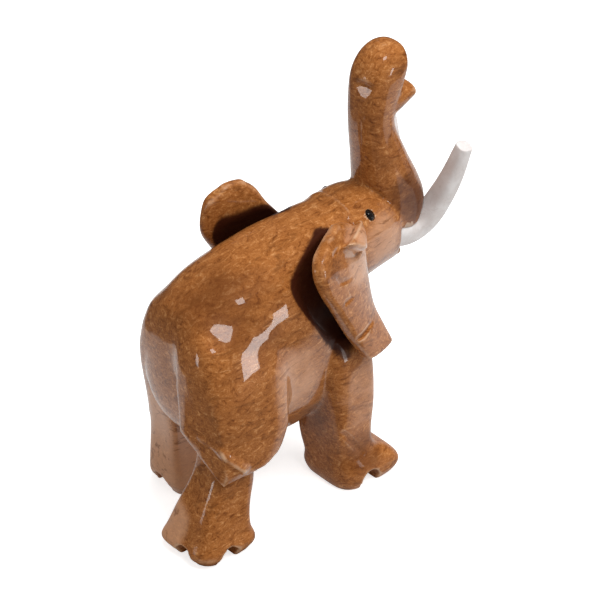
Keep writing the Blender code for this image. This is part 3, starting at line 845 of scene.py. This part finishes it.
points = eased(points, edges, FORM_EASING * np.maximum(haunch_tops, thigh_fronts), FORM_ROUNDS)
rough.vertices.foreach_set("co", points.ravel())
thin = block.modifiers.new("thin", "DECIMATE")
thin.ratio = min(1.0, BLOCK_TRIANGLES / (2 * len(rough.polygons)))
take_away(block, level_cutter)
take_away(block, socket_cutter)
carved = evaluated(block, "carved_elephant")
block.modifiers.clear()
block.data = carved
points = held_in(carved, "elephant_body")
carved.shade_smooth()
normals = np.empty(len(carved.vertices) * 3)
carved.vertices.foreach_get("normal", normals)
# How far each point stands out from its eased neighbours: above 0 on arrises, which get painted highlight as
# well as wear, below 0 in creases, which get painted shade.
flatter = eased(points, edges_of(carved), np.full(len(points), GROUND_EASING), rounds=6)
stands_out = np.einsum("ij,ij->i", points - flatter, normals.reshape(-1, 3)) / GRINDING_STEP
keep_mark(carved, "stands_out", stands_out)
# Painted shade: full in the ear slots and fading out of them, then at the dark spots.
up, front, front_left, rear, rear_left = curve_through(EAR_SLOT, between=5).T[:5]
slot_spots = np.concatenate([
    place(rear + (front - rear) * way_in, side * (rear_left + (front_left - rear_left) * way_in), up)
    for side in SIDES
    for way_in in WAYS_IN
])
painted_shade = 1 - ramp(distance_to(points, slot_spots), *SLOT_REACH)
for spots, reach, strength in PAINTED_SHADE_SPOTS:
    dark = strength * (1 - ramp(distance_to(points, place(*np.array(spots).T)), *reach))
    painted_shade = np.maximum(painted_shade, dark)
keep_mark(carved, "painted_shade", painted_shade)
# Painted reflection and painted shade, with the stone's own tone, summed zone by zone.
painted_light_and_tone = sum(
    strength * (1 - ramp(distance_to(points, place(*spot)[None]), ZONE_CORE * reach, reach))
    for spot, reach, strength in TONE_AND_PAINTED_LIGHT_ZONES
)
keep_mark(carved, "painted_light_and_tone", painted_light_and_tone)
for cutter in (hollow_cutter, socket_cutter, level_cutter):
    bpy.data.objects.remove(cutter)

# Its marble: a warm brown ground full of fine dark and light grains, with drawn-out bedding, cloudy paler
# parts and a few darker bands and veins. It is ground smooth, then polished and waxed to a deep gloss.
# Its colour also holds painted light: reflection and shade painted into the paler and darker parts,
# highlights painted on the arrises, and shade painted into creases, slots and hollows.
# The pale and dark cloud colours also paint reflection and shade, the arris colour paints highlights as well
# as wear, and the crease and slot colours paint shade.
PALE_CLOUD_AND_SHEEN = (0.660, 0.355, 0.205)
DARK_BAND_AND_SHADE = (0.120, 0.034, 0.008)
VEIN = (0.160, 0.050, 0.011)
WORN_ARRIS_AND_HIGHLIGHT = (0.700, 0.450, 0.280)
PAINTED_CREASE_SHADE = (0.080, 0.022, 0.006)
SLOT_SHADE = (0.030, 0.005, 0.003)


def worked(tree, operation, *values):
    """A sum or product of links and plain numbers."""
    node = add(tree, "ShaderNodeMath", operation=operation)
    for socket, value in zip(node.inputs, values):
        if isinstance(value, float):
            socket.default_value = value
        else:
            tree.links.new(value, socket)
    return node.outputs["Value"]


def laid(tree, vector, turn, stretch):
    """The place turned and stretched, so that a pattern lies in the stone's beds."""
    node = add(tree, "ShaderNodeMapping", Rotation=turn, Scale=stretch)
    tree.links.new(vector, node.inputs["Vector"])
    return node.outputs["Vector"]


def mark(tree, name):
    """The number that the mesh holds for each point under the name."""
    return add(tree, "ShaderNodeAttribute", attribute_name=name).outputs["Fac"]


marble, tree, shader, spot, facing = material_of("polished_brown_marble")
bedding = laid(tree, spot, turn=(0.35, 0.15, 0.25), stretch=(1.0, 0.6, 1.25))
seams = laid(tree, spot, turn=(0.30, 0.10, 0.20), stretch=(1.3, 0.32, 1.5))
uneven = add(tree, "ShaderNodeBump", Strength=1.0, Distance=0.00025)
tree.links.new(grain(tree, spot, size=16.0, detail=1.0, roughness=0.4), uneven.inputs["Height"])
tree.links.new(facing, uneven.inputs["Normal"])
fine, pits = fine_grained(
    tree, spot, uneven.outputs["Normal"], size=0.55, Detail=3.0, Roughness=0.7, Strength=0.10, Distance=0.0001
)
streaks = grain(tree, bedding, size=2.4, detail=7.0, roughness=0.72, distortion=1.3)
clouds = grain(tree, bedding, size=9.0, detail=3.0, roughness=0.55, distortion=0.4)
veins = grain(tree, seams, size=5.5, detail=6.0, roughness=0.68, distortion=1.2)
colour = graded(tree, streaks, (
    (0.34, (0.170, 0.048, 0.009)),
    (0.45, (0.330, 0.112, 0.026)),
    (0.56, (0.410, 0.152, 0.040)),
    (0.68, (0.620, 0.290, 0.108)),
))
speckle = graded(tree, fine, (
    (0.32, (0.50, 0.42, 0.36)),
    (0.44, (0.92, 0.90, 0.88)),
    (0.56, (1.00, 1.00, 1.00)),
    (0.70, (1.30, 1.36, 1.50)),
))
colour = blended(tree, 0.70, colour, speckle, "MULTIPLY")
# The noise's clouds, plus the zones' painted reflection and painted shade.
mottle_and_painted_light = worked(tree, "ADD", worked(tree, "MULTIPLY_ADD", clouds, 1.6, -0.8), mark(tree, "painted_light_and_tone"))
proud, slot = mark(tree, "stands_out"), mark(tree, "painted_shade")
# Each row mixes a colour over the ground by a mask: the stone's clouds and veins, and painted light.
for source, span, most, tint in (
    # paler clouds, and painted reflection of the floor
    (mottle_and_painted_light, (0.10, 1.60), 0.64, PALE_CLOUD_AND_SHEEN),
    # darker bands, and painted shade
    (mottle_and_painted_light, (-0.15, -1.15), 0.70, DARK_BAND_AND_SHADE),
    (veins, (0.54, 0.66), 0.62, VEIN),
    # paler arrises: wear, and painted highlight
    (proud, (0.09, 0.34), 0.72, WORN_ARRIS_AND_HIGHLIGHT),
    # darker creases: painted shade
    (proud, (-0.15, -0.50), 0.75, PAINTED_CREASE_SHADE),
    # painted shade in the slots, under the ears and at the root
    (slot, (0.0, 1.0), 0.95, SLOT_SHADE),
):
    colour = blended(tree, spread(tree, source, span, (0.0, most)), colour, tint)
tree.links.new(colour, shader.inputs["Base Color"])
tree.links.new(spread(tree, streaks, (0.3, 0.7), (0.42, 0.30)), shader.inputs["Roughness"])
shader.inputs["Specular IOR Level"].default_value = 0.1
height = add(tree, "ShaderNodeSeparateXYZ")
tree.links.new(spot, height.inputs["Vector"])
out_of_slots = spread(tree, slot, (0.0, 1.0), (1.0, 0.05))
above_feet = spread(tree, height.outputs["Z"], (0.012, 0.028), (0.22, 1.0))
tree.links.new(worked(tree, "MULTIPLY", out_of_slots, above_feet), shader.inputs["Coat Weight"])
shader.inputs["Coat Roughness"].default_value = 0.035
shader.inputs["Coat IOR"].default_value = 1.42
tree.links.new(pits, shader.inputs["Normal"])
tree.links.new(uneven.outputs["Normal"], shader.inputs["Coat Normal"])
block.data.materials.clear()
block.data.materials.append(marble)
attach(block, "root")
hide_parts("elephant_body")

# Plain pale floor. It is one white board near the statue, and what mirrors beyond the board is dark,
# as it is round a small table top in a dim studio.
FLOOR_HALF = 4.0
BOARD_TURN = 228.0
BOARD_EDGES = (("X", -0.17, 0.27), ("Y", -0.045, 0.70))
EDGE_BLUR = 0.006
THROWN_LIGHT = 0.56
MIRRORED_BOARD = 0.54
BEYOND = (0.03, 0.03, 0.03)
SEEN_GLOW = (0.80, 0.80, 0.80)
THROWN_GLOW = (0.30, 0.30, 0.30)
MIRRORED_GLOW = (0.60, 0.60, 0.60)
corners = [(FLOOR_HALF * x, FLOOR_HALF * y, 0) for x, y in ((-1, -1), (1, -1), (1, 1), (-1, 1))]
floor_mesh = bpy.data.meshes.new("studio_floor")
floor_mesh.from_pydata(corners, [], [(0, 1, 2, 3)])
floor = bpy.data.objects.new("studio_floor", floor_mesh)
bpy.context.scene.collection.objects.link(floor)
pale, tree, shader, spot, facing = material_of("pale_floor")
split = add(tree, "ShaderNodeSeparateXYZ")
turned = laid(tree, spot, turn=(0, 0, -np.radians(BOARD_TURN)), stretch=(1.0, 1.0, 1.0))
tree.links.new(turned, split.inputs["Vector"])
on_board = MIRRORED_BOARD
for axis, low, high in BOARD_EDGES:
    inside = spread(tree, split.outputs[axis], (low - EDGE_BLUR, low + EDGE_BLUR))
    before = spread(tree, split.outputs[axis], (high - EDGE_BLUR, high + EDGE_BLUR), (1.0, 0.0))
    on_board = worked(tree, "MULTIPLY", on_board, worked(tree, "MULTIPLY", inside, before))
path = add(tree, "ShaderNodeLightPath")
thrown = blended(tree, path.outputs["Is Diffuse Ray"], 1.0, THROWN_LIGHT, kind="FLOAT")
seen = blended(tree, path.outputs["Is Glossy Ray"], thrown, on_board, kind="FLOAT")
fibres, weave = fine_grained(
    tree, spot, facing, size=2.0, Detail=4.0, Roughness=0.6, Distortion=0.8, Strength=0.1, Distance=0.0001
)
board = graded(tree, fibres, ((0.30, (0.86, 0.86, 0.855)), (0.70, (0.90, 0.90, 0.90))))
shade = blended(tree, seen, BEYOND, board)
glow = blended(tree, path.outputs["Is Camera Ray"], THROWN_GLOW, SEEN_GLOW)
glow = blended(tree, path.outputs["Is Glossy Ray"], glow, MIRRORED_GLOW)
tree.links.new(shade, shader.inputs["Base Color"])
tree.links.new(blended(tree, 1.0, shade, glow, "MULTIPLY"), shader.inputs["Emission Color"])
shader.inputs["Emission Strength"].default_value = 1.0
shader.inputs["Specular IOR Level"].default_value = 0.1
tree.links.new(spread(tree, fibres, (0.30, 0.70), (0.85, 0.70)), shader.inputs["Roughness"])
tree.links.new(weave, shader.inputs["Normal"])
floor_mesh.materials.append(pale)

# Soft studio light: an even surround, a large softbox overhead and a weak one at the right, which the
# polish doesn't mirror, and three small panes, at the right, at the left and high up, which it does.
AROUND = (0.36, 0.36, 0.36)
MIRRORED_AROUND = (0.04, 0.04, 0.04)
BACKDROP = (1.0, 1.0, 1.0)
STATUE_MIDDLE = Vector((0, 0, 0.07))
world = bpy.data.worlds.new("studio")
bpy.context.scene.world = world
world.use_nodes = True
sky = world.node_tree
path = add(sky, "ShaderNodeLightPath")
surround = blended(sky, path.outputs["Is Glossy Ray"], AROUND, MIRRORED_AROUND)
backdrop = blended(sky, path.outputs["Is Camera Ray"], surround, BACKDROP)
sky.links.new(backdrop, sky.nodes["Background"].inputs["Color"])
bpy.context.scene.view_settings.view_transform = "Standard"


def bearing(azimuth, elevation):
    """The direction at an angle round from straight ahead and an angle up: sin a cos e, -cos a cos e and
    sin e."""
    a, e = np.radians((azimuth, elevation))
    return Vector((np.sin(a) * np.cos(e), -np.cos(a) * np.cos(e), np.sin(e)))


def softbox(name, azimuth, elevation, distance, width, height, brightness, mirrored=True):
    """A panel that looks at the statue's middle from a bearing and a height angle. Its power is its
    brightness times pi times its area."""
    toward = bearing(azimuth, elevation)
    lamp = bpy.data.lights.new(name, "AREA")
    lamp.shape = "RECTANGLE"
    lamp.size, lamp.size_y = width, height
    lamp.energy = brightness * np.pi * width * height
    holder = bpy.data.objects.new(name, lamp)
    holder.location = STATUE_MIDDLE + toward * distance
    holder.rotation_euler = toward.to_track_quat("Z", "Y").to_euler()
    holder.visible_glossy = mirrored
    bpy.context.scene.collection.objects.link(holder)


softbox("overhead", 318, 74, 1.0, 0.80, 0.80, 5.2, mirrored=False)
softbox("right_fill", 303, 18, 0.9, 0.36, 0.45, 1.0, mirrored=False)
softbox("right_strip", 295, -1, 0.45, 0.045, 0.10, 9.0)
softbox("left_window", 166, 5, 0.9, 0.15, 0.17, 6.0)
softbox("skylight", 265, 56, 0.9, 0.20, 0.20, 9.0)

# The camera stands behind the statue's right side, looks down on its back, and is far enough away for
# the sides to look nearly parallel.
AIM = (35.27, -3.0, 45.33)
AWAY = 600
toward = bearing(228.0, 35.0)
lens = bpy.data.cameras.new("camera")
lens.lens = 163
lens.sensor_width = 36
camera = bpy.data.objects.new("camera", lens)
camera.location = Vector(place(*AIM)) + toward * AWAY * SHARE
camera.rotation_euler = toward.to_track_quat("Z", "Y").to_euler()
bpy.context.scene.collection.objects.link(camera)
bpy.context.scene.camera = camera
